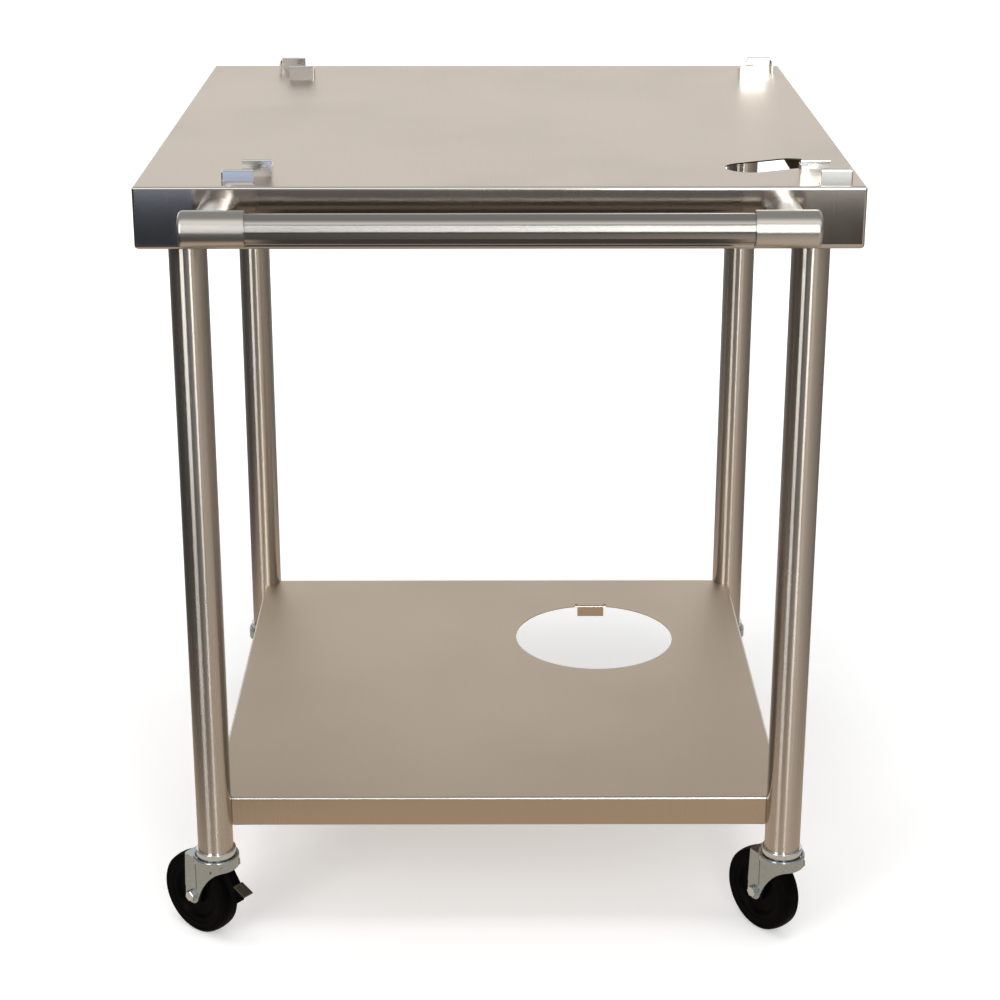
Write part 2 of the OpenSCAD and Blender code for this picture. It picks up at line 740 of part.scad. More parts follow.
// The axle bolt and its lock nut, on the fork's legs.
module axle(i) {
    flats_share = 1.5;
    flats = axle_d * flats_share;
    across = flats / cos(30);
    bolt_head_h = 5;
    nut_h = 7;
    collar_h = 2;
    thread_end = 1;
    bolt_l = 2 * fork_half + nut_h + thread_end;
    color(ZINC) at_caster(i) translate([trail, 0, wheel_r]) rotate([90, 0, 0]) {
        translate([0, 0, -fork_half - bolt_head_h]) cylinder(d = across, h = bolt_head_h, $fn = 6);
        translate([0, 0, -fork_half - lap]) cylinder(r = axle_r, h = bolt_l + lap);
        difference() {
            union() {
                translate([0, 0, fork_half]) cylinder(d = across, h = nut_h - collar_h, $fn = 6);
                translate([0, 0, fork_half]) cylinder(d = flats, h = nut_h);
            }
            translate([0, 0, fork_half - lap]) cylinder(r = axle_r + run_play, h = nut_h + 3 * lap);
        }
    }
}

// The bush is clamped between the fork's legs, and the wheel turns on it.
module bush(i) {
    color(ZINC) at_caster(i) translate([trail, 0, wheel_r]) rotate([90, 0, 0]) difference() {
        cylinder(r = bush_r, h = fork_gap, center = true);
        cylinder(r = axle_r + run_play, h = fork_gap + 2 * lap, center = true);
    }
}

// A moulded hub turned from one section: a rim, a dished web with sloping sides and a boss.
module hub(i) {
    bore_r = bush_r + run_play;
    boss_r = boss_d / 2;
    boss_half = fork_gap / 2 - side_play;
    rim_inset = 1;
    rim_half = wheel_w / 2 - rim_inset;
    web_half = rim_half - hub_dish;
    rim_r = hub_r - hub_rim_t;
    web_r = rim_r - hub_dish;
    color(PLASTIC) at_caster(i) translate([trail, 0, wheel_r]) rotate([90, 0, 0])
        rotate_extrude() polygon([
            [bore_r, -boss_half], [boss_r, -boss_half], [boss_r, -web_half],
            [web_r, -web_half], [rim_r, -rim_half], [hub_r, -rim_half],
            [hub_r, rim_half], [rim_r, rim_half], [web_r, web_half],
            [boss_r, web_half], [boss_r, boss_half], [bore_r, boss_half]
        ]);
}

// A solid tyre with a crowned tread and round shoulders.
module tyre(i) {
    shoulder = 2;
    half = wheel_w / 2;
    edge_r = wheel_r - tread_crown;
    crown_r = (half * half + tread_crown * tread_crown) / (2 * tread_crown);
    color(RUBBER) at_caster(i) translate([trail, 0, wheel_r]) rotate([90, 0, 0])
        rotate_extrude($fn = 96) union() {
            intersection() {
                translate([hub_r, -half + shoulder]) square([tyre_depth, wheel_w - 2 * shoulder]);
                translate([wheel_r - crown_r, 0]) circle(r = crown_r, $fn = 128);
            }
            translate([hub_r, -half]) square([edge_r - shoulder - hub_r, wheel_w]);
            for (s = [-1, 1])
                translate([edge_r - shoulder, s * (half - shoulder)]) circle(r = shoulder);
        }
}

// Turns a shape about the brake's pivot, which lies along local Y.
module about_brake_pivot(turn) {
    translate([-brake_pivot_x, 0, brake_pivot_z]) rotate([0, turn, 0])
        translate([brake_pivot_x, 0, -brake_pivot_z]) children();
}

// The lever's shoe is drawn braked, concentric with the tread, and turned back to free.
module brake_lever(i) {
    shoe_r = wheel_r + shoe_gap;
    shoe_low = 175;
    shoe_high = 132;
    reach = 2 * wheel_d;
    arm_inset = 0.5;
    arm_r = lever_eye_r - arm_inset;
    arm_back = 3;
    arm_end_x = pad_x + arm_back;
    arm_end_z = pad_z - arm_r;
    arm_l = norm([arm_end_x + brake_pivot_x, arm_end_z - brake_pivot_z]);
    toe_share = 0.7;
    toe_l = pad_l * toe_share;
    toe_h = 5;
    color(PLASTIC) at_caster(i) difference() {
        union() {
            about_brake_pivot(brake_turn) translate([trail, 0, wheel_r]) rotate([90, 0, 0])
                linear_extrude(lever_w, center = true) intersection() {
                    difference() {
                        circle(r = shoe_r + shoe_t, $fn = 128);
                        circle(r = shoe_r, $fn = 128);
                    }
                    polygon([
                        [0, 0],
                        [reach * cos(shoe_low), reach * sin(shoe_low)],
                        [reach * cos(shoe_high), reach * sin(shoe_high)]
                    ]);
                }
            translate([-brake_pivot_x, 0, brake_pivot_z]) rotate([90, 0, 0])
                cylinder(r = lever_eye_r, h = fork_gap - 2 * side_play, center = true);
            rotate([90, 0, 0]) linear_extrude(lever_w, center = true) {
                translate([(arm_end_x - brake_pivot_x) / 2, (arm_end_z + brake_pivot_z) / 2])
                    rotate(atan2(arm_end_z - brake_pivot_z, arm_end_x + brake_pivot_x))
                        slot(arm_l + 2 * arm_r, 2 * arm_r);
                translate([pad_x, pad_z]) rotate(180 + pad_slope)
                    translate([-arm_r, 0]) square([toe_l + arm_r, toe_h]);
            }
        }
        translate([-brake_pivot_x, 0, brake_pivot_z]) rotate([90, 0, 0])
            cylinder(r = brake_pin_d / 2 + run_play, h = fork_gap + 2 * lap, center = true);
    }
}

// A small ribbed steel plate on the lever's outer end.
module brake_pad(i) {
    ribs = 4;
    rib_t = 1.2;
    rib_h = 0.7;
    rib_inset = 1.5;
    color(ZINC) at_caster(i) translate([pad_x, 0, pad_z]) rotate([0, 180 - pad_slope, 0]) {
        translate([0, -pad_w / 2, -pad_t]) cube([pad_l, pad_w, pad_t]);
        for (k = [1:ribs])
            translate([k * pad_l / (ribs + 1) - rib_t / 2, rib_inset - pad_w / 2, -pad_t - rib_h])
                cube([rib_t, pad_w - 2 * rib_inset, rib_h + pad_t / 2]);
    }
}

// The pivot pin, riveted in the fork's legs.
module brake_pin(i) {
    color(ZINC) at_caster(i) translate([-brake_pivot_x, 0, brake_pivot_z]) rotate([90, 0, 0]) {
        cylinder(d = brake_pin_d, h = 2 * fork_half + lap, center = true);
        for (s = [-1, 1])
            translate([0, 0, s * (fork_half + pin_head_h / 2)])
                cylinder(d = pin_head_d, h = pin_head_h, center = true);
    }
}

deck();
channel(-1);  // left_channel
channel(1);  // right_channel
for (i = [0:3]) {
    socket(i);
    leg(i);
    foot_clip(i, true);
    foot_clip(i, false);
    caster_head(i);
    balls(i);
    fork(i, i == 0 || i == 3);
    axle(i);
    bush(i);
    hub(i);
    tyre(i);
}
shelf();
flange_screws();
handle_tube();
handle_bracket(-1);  // left_handle_bracket
handle_bracket(1);  // right_handle_bracket
brake_lever(0);  // front_left_brake_lever
brake_pad(0);  // front_left_brake_pad
brake_pin(0);  // front_left_brake_pin
brake_lever(3);  // rear_right_brake_lever
brake_pad(3);  // rear_right_brake_pad
brake_pin(3);  // rear_right_brake_pin
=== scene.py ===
"""The looks of a pizza oven cart: brushed steel sheet and tube, zinc plated casters, black wheels.

Everything is in metres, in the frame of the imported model, with the front towards -Y.
"""

import json
import math

import bpy
from mathutils import Matrix, Vector


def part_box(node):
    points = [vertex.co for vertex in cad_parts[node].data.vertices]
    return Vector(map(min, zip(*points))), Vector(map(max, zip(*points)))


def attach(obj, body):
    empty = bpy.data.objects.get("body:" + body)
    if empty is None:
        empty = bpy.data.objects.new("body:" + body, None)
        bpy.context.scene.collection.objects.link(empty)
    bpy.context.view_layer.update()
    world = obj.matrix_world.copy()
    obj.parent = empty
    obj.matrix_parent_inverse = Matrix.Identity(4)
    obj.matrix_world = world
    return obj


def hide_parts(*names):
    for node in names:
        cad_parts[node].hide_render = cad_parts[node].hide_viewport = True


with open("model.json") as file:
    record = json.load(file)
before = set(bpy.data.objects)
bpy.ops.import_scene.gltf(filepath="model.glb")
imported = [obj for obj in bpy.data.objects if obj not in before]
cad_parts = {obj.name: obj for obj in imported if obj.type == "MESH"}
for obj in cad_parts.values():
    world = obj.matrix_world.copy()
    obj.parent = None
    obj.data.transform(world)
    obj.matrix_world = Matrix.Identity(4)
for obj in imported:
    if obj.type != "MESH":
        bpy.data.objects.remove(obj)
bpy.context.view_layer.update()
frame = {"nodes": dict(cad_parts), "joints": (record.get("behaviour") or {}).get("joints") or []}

CORNERS = ("front_left", "front_right", "rear_left", "rear_right")
JOINTS = {joint["name"]: joint for joint in frame["joints"]}
DECK_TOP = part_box("front_left_outer_clip")[0].z

# Sizes that the pieces made here share with the solids that they replace or sit on.
TYRE_WIDTH = 0.024
TYRE_DEPTH = 0.015
TREAD_CROWN = 0.0018
FORK_HALF = 0.0155
AXLE_RADIUS = 0.004
SCREW_RADIUS = 0.003
SCREW_LENGTH = 0.014
POST_X = 0.295
SOCKET_PLATE = 0.003
SADDLE = 0.0023
SHEET = 0.0015
CLIP_SHEET = 0.0012
CLIP_BASE = 0.014
CLIP_WALL = 0.019


# Node helpers

# The numbers of a Mix node's low, high and result sockets, which share their names.
MIX_SOCKETS = {"FLOAT": (2, 3, 0), "VECTOR": (4, 5, 1), "RGBA": (6, 7, 2)}


def cleared_tree(owner):
    """The empty node tree of a new material or world."""
    owner.use_nodes = True
    owner.node_tree.nodes.clear()
    return owner.node_tree


def put(tree, kind, sockets=None, **settings):
    """Adds a node, sets its properties, and fills or links its sockets."""
    made = tree.nodes.new(kind)
    for name, value in settings.items():
        setattr(made, name, value)
    for name, value in (sockets or {}).items():
        if isinstance(value, bpy.types.NodeSocket):
            tree.links.new(value, made.inputs[name])
        else:
            made.inputs[name].default_value = value
    return made


def new_material(name, metallic):
    """A material with a Principled shader; returns the material, its tree and the shader."""
    made = bpy.data.materials.new(name)
    tree = cleared_tree(made)
    shader = put(tree, "ShaderNodeBsdfPrincipled", {"Metallic": metallic})
    put(tree, "ShaderNodeOutputMaterial", {"Surface": shader.outputs["BSDF"]})
    return made, tree, shader


def calculate(tree, operation, *values):
    """The result of a sum or another operation on one or two numbers."""
    return put(tree, "ShaderNodeMath", dict(enumerate(values)), operation=operation).outputs[0]


def mix(tree, kind, share, low, high):
    """What lies between low and high at share: FLOAT for numbers, VECTOR, or RGBA for colours."""
    first, second, result = MIX_SOCKETS[kind]
    made = put(tree, "ShaderNodeMix", {0: share, first: low, second: high}, data_type=kind)
    return made.outputs[result]


def remap(tree, value, low, high, start=0.3, end=0.7):
    """Carries value from start..end to low..high."""
    made = put(tree, "ShaderNodeMapRange", {
        "Value": value, "From Min": start, "From Max": end, "To Min": low, "To Max": high,
    })
    return made.outputs[0]


def coordinate(tree, kind):
    """The place of the shaded point in its object, or its normal: Object or Normal."""
    return put(tree, "ShaderNodeTexCoord").outputs[kind]


def parts_of(tree, vector):
    """The X, Y and Z of a vector."""
    parts = put(tree, "ShaderNodeSeparateXYZ", {"Vector": vector})
    return parts.outputs["X"], parts.outputs["Y"], parts.outputs["Z"]


def length_of(tree, vector):
    """The length of a vector."""
    return put(tree, "ShaderNodeVectorMath", {0: vector}, operation="LENGTH").outputs["Value"]


def stretched_noise(tree, scale, detail=3.0, roughness=0.5):
    """Noise in object space with its own frequency along X, Y and Z, per metre."""
    spread = put(tree, "ShaderNodeMapping", {"Vector": coordinate(tree, "Object"), "Scale": scale})
    made = put(tree, "ShaderNodeTexNoise", {
        "Vector": spread.outputs["Vector"],
        "Scale": 1.0,
        "Detail": detail,
        "Roughness": roughness,
    })
    return made.outputs[0]


def even_noise(tree, scale, detail, roughness=0.5):
    """Noise in object space with the same frequency in every direction, per metre."""
    return stretched_noise(tree, (scale, scale, scale), detail, roughness)


def add_bump(tree, shader, height, distance, strength):
    """Gives the shader small relief from height."""
    bump = put(tree, "ShaderNodeBump", {
        "Height": height, "Distance": distance, "Strength": strength,
    })
    tree.links.new(bump.outputs["Normal"], shader.inputs["Normal"])


def shade(colour, factor=1.0):
    """A colour made lighter or darker, with full alpha."""
    return (*(min(1.0, part * factor) for part in colour), 1.0)


# Materials

ACROSS = 2600.0
ALONG = 16.0
GRAIN = {
    "X": (ALONG, ACROSS, ACROSS),
    "Y": (ACROSS, ALONG, ACROSS),
    "Z": (ACROSS, ACROSS, ALONG),
}
# Painted highlight: the paler colour laid on the sheet's folds that face upwards.
PAINTED_FOLD_HIGHLIGHT = (0.95, 0.94, 0.92, 1.0)
STEEL_TINT = (0.9, 0.84, 0.77, 1.0)


def upper_folds(tree, normal):
    """0 on faces square to an axis, rising on the folds and rounded edges that face upwards."""
    rounded, square = 0.88, 0.995
    upwards_enough = 0.15
    size = put(tree, "ShaderNodeVectorMath", {0: normal}, operation="ABSOLUTE").outputs[0]
    x, y, z = parts_of(tree, size)
    largest = calculate(tree, "MAXIMUM", calculate(tree, "MAXIMUM", x, y), z)
    fold = remap(tree, largest, 1.0, 0.0, start=rounded, end=square)
    height = parts_of(tree, normal)[2]
    upward = remap(tree, height, 0.0, 1.0, start=0.0, end=upwards_enough)
    return calculate(tree, "MULTIPLY", fold, upward)


def facing(tree, part):
    """1 where the normal's part along an axis is large, either way along it, and 0 where small."""
    small, large = 0.6, 0.8
    size = calculate(tree, "ABSOLUTE", part)
    return remap(tree, size, 0.0, 1.0, start=small, end=large)


def steel_tone(tree, colour, streaks):
    """The steel's colour, a little darker and lighter along its brush marks."""
    dark, light = 0.97, 1.02
    share = remap(tree, streaks, 0.0, 1.0)
    return mix(tree, "RGBA", share, shade(colour, dark), shade(colour, light))


def finish_steel(tree, shader, tone, streaks, rough, relief, extra=0.0):
    """The steel's colour, and the roughness and relief of its brush marks and soft smudges.

    Extra is added to the roughness.
    """
    smudge_scale, smudge_detail = 5.0, 4.0
    smudge_start, smudge_end = 0.42, 0.68
    cleaned, smudged = -0.01, 0.025
    streak_change = 0.01
    mark_depth = 0.00001
    tree.links.new(tone, shader.inputs["Base Color"])
    smudge = even_noise(tree, smudge_scale, smudge_detail)
    brushed = remap(tree, streaks, rough - streak_change, rough + streak_change)
    touched = remap(tree, smudge, cleaned, smudged, start=smudge_start, end=smudge_end)
    total = calculate(tree, "ADD", calculate(tree, "ADD", brushed, touched), extra)
    tree.links.new(total, shader.inputs["Roughness"])
    add_bump(tree, shader, streaks, mark_depth, relief)


def brushed_tube(name, colour, axis, rough, blur=1.0):
    """Steel tube. Its highlights spread along the tube's axis, which is X, Y or Z."""
    relief = 0.15
    quarter_turn = 0.25
    made, tree, shader = new_material(name, 1.0)
    streaks = stretched_noise(tree, GRAIN[axis])
    finish_steel(tree, shader, steel_tone(tree, colour, streaks), streaks, rough, relief)
    tangent = put(tree, "ShaderNodeTangent", direction_type="RADIAL", axis=axis)
    tree.links.new(tangent.outputs["Tangent"], shader.inputs["Tangent"])
    shader.inputs["Anisotropic"].default_value = blur
    shader.inputs["Anisotropic Rotation"].default_value = quarter_turn
    return made


def brushed_sheet(name, colour, rough, relief=0.25, top_extra=0.0, painted_side_shade=1.0):
    """Folded steel sheet, brushed along Y and, on the faces towards the front and back, along Z.

    Its flat top is rougher than its sides by top_extra. A painted shade darkens the sides' colour
    by a factor (1 leaves them as they are), and the folds that face upwards are painted paler: a
    painted highlight.
    """
    top_start, top_end = 0.8, 0.98
    blur = 0.6
    made, tree, shader = new_material(name, 1.0)
    normal = coordinate(tree, "Normal")
    x, y, z = parts_of(tree, normal)
    streaks = mix(
        tree, "FLOAT", facing(tree, y),
        stretched_noise(tree, GRAIN["Y"]), stretched_noise(tree, GRAIN["Z"]),
    )
    top = remap(tree, z, 0.0, 1.0, start=top_start, end=top_end)
    # Painted highlight: the folds that face upwards are paler.
    painted_fold_highlight = upper_folds(tree, normal)
    # Painted shade: the sides' colour is darker than the flat top's.
    gain = remap(tree, top, painted_side_shade, 1.0, start=0.0, end=1.0)
    gain = calculate(tree, "MAXIMUM", gain, painted_fold_highlight)
    tone = mix(tree, "RGBA", painted_fold_highlight, steel_tone(tree, colour, streaks), PAINTED_FOLD_HIGHLIGHT)
    scaled = put(tree, "ShaderNodeVectorMath", {0: tone, "Scale": gain}, operation="SCALE")
    extra = remap(tree, top, 0.0, top_extra, start=0.0, end=1.0)
    finish_steel(tree, shader, scaled.outputs[0], streaks, rough, relief, extra)
    across = mix(tree, "VECTOR", facing(tree, x), (1.0, 0.0, 0.0), (0.0, 0.0, 1.0))
    turn = put(
        tree, "ShaderNodeVectorTransform", {"Vector": across},
        vector_type="VECTOR", convert_from="OBJECT", convert_to="WORLD",
    )
    tree.links.new(turn.outputs[0], shader.inputs["Tangent"])
    shader.inputs["Anisotropic"].default_value = blur
    shader.inputs["Specular Tint"].default_value = STEEL_TINT
    return made


def plated(name, colour, rough):
    """Bright zinc plate: cloudy patches a few millimetres wide and a fine tooth."""
    metallic = 0.92
    cloud_scale, tooth_scale = 220.0, 1400.0
    dark, light = 0.93, 1.04
    rough_change = 0.04
    tooth_depth, tooth_strength = 0.00002, 0.3
    made, tree, shader = new_material(name, metallic)
    clouds = even_noise(tree, cloud_scale, detail=4.0, roughness=0.6)
    tooth = even_noise(tree, tooth_scale, detail=2.0)
    share = remap(tree, clouds, 0.0, 1.0)
    tone = mix(tree, "RGBA", share, shade(colour, dark), shade(colour, light))
    tree.links.new(tone, shader.inputs["Base Color"])
    roughness = remap(tree, clouds, rough - rough_change, rough + rough_change)
    tree.links.new(roughness, shader.inputs["Roughness"])
    add_bump(tree, shader, tooth, tooth_depth, tooth_strength)
    return made


def moulded(name, colour, rough, dust):
    """Black rubber or plastic with a fine moulded tooth and a little paler dust."""
    tooth_scale, patch_scale = 700.0, 45.0
    dust_start, dust_end = 0.45, 0.75
    smoother, rougher = 0.06, 0.12
    shine = 0.025
    tooth_depth, tooth_strength = 0.00008, 0.35
    made, tree, shader = new_material(name, 0.0)
    tooth = even_noise(tree, tooth_scale, detail=3.0)
    patches = even_noise(tree, patch_scale, detail=5.0, roughness=0.65)
    share = remap(tree, patches, 0.0, 1.0, dust_start, dust_end)
    tone = mix(tree, "RGBA", share, shade(colour), shade(dust))
    tree.links.new(tone, shader.inputs["Base Color"])
    roughness = remap(tree, patches, rough - smoother, rough + rougher)
    tree.links.new(roughness, shader.inputs["Roughness"])
    shader.inputs["Specular IOR Level"].default_value = shine
    add_bump(tree, shader, tooth, tooth_depth, tooth_strength)
    return made


# Side factors below 1 darken the sheets' sides: painted shade.
DECK = brushed_sheet("deck_sheet", (0.745, 0.695, 0.64), 0.12, top_extra=0.3, painted_side_shade=0.76)
# The shelf's steel is the deck's made darker and browner: painted shade under the deck.
SHELF_WITH_PAINTED_SHADE = brushed_sheet("shelf_sheet_painted_shade", (0.56, 0.482, 0.394), 0.24, top_extra=0.2, painted_side_shade=0.96)
INNER = brushed_sheet("inner_sheet", (0.46, 0.45, 0.43), 0.38, relief=0.15)
CLIP = brushed_sheet("clip_sheet", (0.86, 0.87, 0.88), 0.1, relief=0.15)
LEG = brushed_tube("leg_tube", (0.6, 0.555, 0.5), "Z", 0.25)
HANDLE = brushed_tube("handle_tube_steel", (0.46, 0.443, 0.42), "X", 0.22)
BRACKET = brushed_tube("bracket_casting", (0.62, 0.585, 0.545), "X", 0.29, blur=0.6)
ZINC = plated("zinc_plate", (0.42, 0.47, 0.48), 0.15)
BRIGHT_ZINC = plated("zinc_bright", (0.66, 0.71, 0.72), 0.12)
PAD = plated("pad_steel", (0.12, 0.12, 0.12), 0.3)
RUBBER = moulded("tyre_rubber_black", (0.0015, 0.0015, 0.0015), 0.45, (0.003, 0.003, 0.0029))
PLASTIC = moulded("hub_plastic_black", (0.0015, 0.0015, 0.0016), 0.35, (0.003, 0.003, 0.0031))

WHOLE_NAMES = {"deck": DECK, "shelf": SHELF_WITH_PAINTED_SHADE, "handle_tube": HANDLE}
ENDINGS = (
    ("_channel", INNER), ("_socket", INNER), ("_leg", LEG), ("_clip", CLIP),
    ("_bracket", BRACKET), ("_head", BRIGHT_ZINC), ("_fork", ZINC), ("_axle", BRIGHT_ZINC),
    ("_bush", ZINC), ("_balls", BRIGHT_ZINC), ("_hub", PLASTIC), ("_tyre", RUBBER),
    ("_lever", PLASTIC), ("_pad", PAD), ("_pin", ZINC), ("_screws", BRIGHT_ZINC),
)


def material_of(node):
    """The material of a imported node, by its name."""
    if node in WHOLE_NAMES:
        return WHOLE_NAMES[node]
    return next(made for ending, made in ENDINGS if node.endswith(ending))


for node_name, shown in frame["nodes"].items():
    shown.data.materials.clear()
    shown.data.materials.append(material_of(node_name))


# Mesh helpers

def mesh_object(name, points, faces, material, body, place=None):
    """A smooth-shaded mesh that rides on a body and takes the given material."""
    sharp_degrees = 35
    mesh = bpy.data.meshes.new(name)
    mesh.from_pydata(points, [], faces)
    if place is not None:
        mesh.transform(place)
    mesh.validate()
    mesh.materials.append(material)
    mesh.shade_smooth()
    made = bpy.data.objects.new(name, mesh)
    bpy.context.scene.collection.objects.link(made)
    split = made.modifiers.new("sharp_edges", "EDGE_SPLIT")
    split.split_angle = math.radians(sharp_degrees)
    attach(made, body)
    return made


def turned(profile, steps):
    """Points and faces of a closed outline of (radius, height) points turned about Z."""
    points = []
    faces = []
    count = len(profile)
    for step in range(steps):
        turn = math.tau * step / steps
        points += [(r * math.cos(turn), r * math.sin(turn), h) for r, h in profile]
        start = step * count
        after = (step + 1) % steps * count
        for here in range(count):
            there = (here + 1) % count
            faces.append((start + here, after + here, after + there, start + there))
    return points, faces


def joined(parts):
    """One list of points and faces from several, each moved by its own matrix."""
    points = []
    faces = []
    for part_points, part_faces, place in parts:
        first = len(points)
        points += [place @ Vector(point) for point in part_points]
        faces += [tuple(first + index for index in face) for face in part_faces]
    return points, faces


def arc(middle, radius, first, last, steps):
    """Points on an arc about middle, between two angles in degrees."""
    turns = [math.radians(first + (last - first) * step / steps) for step in range(steps + 1)]
    return [(middle[0] + radius * math.cos(t), middle[1] + radius * math.sin(t)) for t in turns]


def aimed(origin, axis):
    """The matrix that carries local Z onto axis, at origin."""
    turn = Vector((0, 0, 1)).rotation_difference(Vector(axis)).to_matrix().to_4x4()
    return Matrix.Translation(Vector(origin)) @ turn


def rod_faces(rows, steps):
    """The faces of a rod whose points come in rows of steps, with a cap at both ends."""
    faces = []
    for row in range(rows - 1):
        for step in range(steps):
            here = row * steps + step
            there = row * steps + (step + 1) % steps
            faces.append((here, there, there + steps, here + steps))
    last = (rows - 1) * steps
    return faces + [tuple(range(steps - 1, -1, -1)), tuple(range(last, last + steps))]


def hexagon(across_flats, low, high, chamfer):
    """A hexagon bar along Z, chamfered at its upper end."""
    sides = 6
    chamfered_share = 0.9
    corner = across_flats / math.sqrt(3)
    rings = ((corner, low), (corner, high - chamfer), (corner * chamfered_share, high))
    points = []
    for radius, height in rings:
        for side in range(sides):
            turn = math.tau * side / sides
            points.append((radius * math.cos(turn), radius * math.sin(turn), height))
    return points, rod_faces(len(rings), sides)


def threaded(radius, pitch, low, high):
    """A rod along Z with one continuous thread, capped at both ends."""
    steps = 24
    rows_per_turn = 6
    depth = 0.3 * pitch
    rows = int((high - low) / pitch * rows_per_turn)
    points = []
    for row in range(rows + 1):
        height = low + (high - low) * row / rows
        for step in range(steps):
            wave = ((height - low) / pitch - step / steps) % 1.0
            reach = radius - depth * abs(2 * wave - 1)
            turn = math.tau * step / steps
            points.append((reach * math.cos(turn), reach * math.sin(turn), height))
    return points, rod_faces(rows + 1, steps)


# Wheels and their axle bolts

def tyre_profile():
    """The tyre's section as (radius, width) points: crowned tread, grooves and side rings."""
    outer = JOINTS["front_left_roll"]["pos_m"][2]
    inner = outer - TYRE_DEPTH
    half = TYRE_WIDTH / 2
    edge = outer - TREAD_CROWN
    shoulder = 0.002
    shoulder_start, shoulder_end, shoulder_steps = 60, 90, 4
    groove_middles = (0.0078, 0.0055)
    groove_depth = 0.0004
    groove_half = 0.0005
    steps = 40
    tread = []
    for step in range(steps + 1):
        width = (half - shoulder) * (2 * step / steps - 1)
        reach = outer - TREAD_CROWN * (width / half) ** 2
        if any(abs(abs(width) - middle) < groove_half for middle in groove_middles):
            reach -= groove_depth
        tread.append((reach, width))
    rounded = arc(
        (edge - shoulder, half - shoulder), shoulder, shoulder_start, shoulder_end, shoulder_steps
    )
    # The four corners of the ring sunk into the side, and then the edge towards the hub.
    ring_depth = 0.0005
    wall = [
        (edge - 0.0040, half), (edge - 0.0043, half - ring_depth),
        (edge - 0.0052, half - ring_depth), (edge - 0.0055, half),
        (inner + 0.0020, half), (inner + 0.0012, half - 0.0006), (inner, half - 0.0008),
    ]
    upper = rounded + wall
    lower = [(r, -w) for r, w in reversed(upper)]
    return lower + tread + upper


def add_wheel(corner):
    """A detailed tyre in place of the plain one."""
    steps = 120
    roll = JOINTS[corner + "_roll"]
    points, faces = turned(tyre_profile(), steps)
    tyre = mesh_object(
        corner + "_tyre_detailed", points, faces, RUBBER, corner + "_wheel",
        aimed(roll["pos_m"], roll["axis"]),
    )
    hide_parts(corner + "_tyre")


def add_axle(corner):
    """The axle bolt with a chamfered head, and a lock nut with its ring and the thread's end."""
    head_height, head_chamfer = 0.005, 0.0006
    nut_height, nut_chamfer = 0.005, 0.0005
    ring_height, ring_sink, ring_steps = 0.002, 0.0002, 32
    pitch, thread_end = 0.00125, 0.001
    flats = AXLE_RADIUS * 3
    ring_bore = AXLE_RADIUS * 1.02
    nut_top = FORK_HALF + nut_height
    ring_top = nut_top + ring_height
    ring = [
        (ring_bore, nut_top - ring_sink),
        (AXLE_RADIUS * 1.48, nut_top - ring_sink),
        (AXLE_RADIUS * 1.42, nut_top + ring_height * 0.7),
        (AXLE_RADIUS * 1.25, ring_top),
        (ring_bore, ring_top),
    ]
    upright = Matrix.Identity(4)
    flip = Matrix.Rotation(math.pi, 4, "X")
    points, faces = joined([
        (*hexagon(flats, FORK_HALF, FORK_HALF + head_height, head_chamfer), flip),
        (*hexagon(flats, FORK_HALF, nut_top, nut_chamfer), upright),
        (*turned(ring, ring_steps), upright),
        (*threaded(AXLE_RADIUS, pitch, -FORK_HALF - thread_end, ring_top + thread_end), upright),
    ])
    roll = JOINTS[corner + "_roll"]
    place = aimed(roll["pos_m"], [-part for part in roll["axis"]])
    axle = mesh_object(
        corner + "_axle_detailed", points, faces, BRIGHT_ZINC, corner + "_caster", place
    )
    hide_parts(corner + "_axle")


# Screws and weld marks

def screw_parts():
    """One flange screw along Z: its head above Z = 0 and its thread below."""
    flange_height = 0.0012
    rim_top, crown_top = flange_height * 0.8, flange_height * 1.3
    flange = [
        (0.0, 0.0), (0.0063, 0.0), (0.0065, 0.0003), (0.0062, rim_top), (0.0052, crown_top),
        (0.0, crown_top),
    ]
    flange_steps = 48
    flats, head_low, head_top, chamfer = 0.0093, 0.0005, 0.005, 0.0006
    pitch = 0.001
    return [
        turned(flange, flange_steps),
        hexagon(flats, head_low, head_top, chamfer),
        threaded(SCREW_RADIUS, pitch, -SCREW_LENGTH, head_low),
    ]


def screw_places():
    """Where each flange screw sits: two at each leg and one in each handle post."""
    seat = 0.00005
    shelf_low, shelf_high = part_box("shelf")
    shelf_screw_z = (shelf_low.z + shelf_high.z) / 2
    places = []
    for corner in CORNERS:
        low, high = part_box(corner + "_leg")
        middle = (low + high) / 2
        radius = (high.x - low.x) / 2
        inwards = Vector((-middle.x, -middle.y, 0)).normalized()
        socket_low, socket_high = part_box(corner + "_socket")
        leg_screw_z = (socket_low.z + socket_high.z - SOCKET_PLATE) / 2
        for height, reach in ((leg_screw_z, radius), (shelf_screw_z, radius + SADDLE)):
            spot = Vector((middle.x, middle.y, height)) + inwards * (reach + seat)
            places.append(aimed(spot, inwards))
    apron_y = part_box("deck")[0].y + SHEET
    for bracket in ("left_handle_bracket", "right_handle_bracket"):
        low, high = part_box(bracket)
        post_x = math.copysign(POST_X, low.x)
        places.append(aimed((post_x, apron_y, (low.z + high.z) / 2), (0, 1, 0)))
    return places


def add_screws():
    """All flange screws, detailed, in place of the plain ones."""
    points, faces = joined([
        (*part, place) for place in screw_places() for part in screw_parts()
    ])
    screws = mesh_object("flange_screws_detailed", points, faces, BRIGHT_ZINC, "root")
    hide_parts("flange_screws")


def weld_spot(radius, height):
    """A spot weld's shallow ring with a dimple in its middle."""
    steps = 24
    outline = [
        (0.0, 0.0), (radius, 0.0), (radius * 0.86, height), (radius * 0.6, height * 0.5),
        (0.0, height * 0.2),
    ]
    return turned(outline, steps)


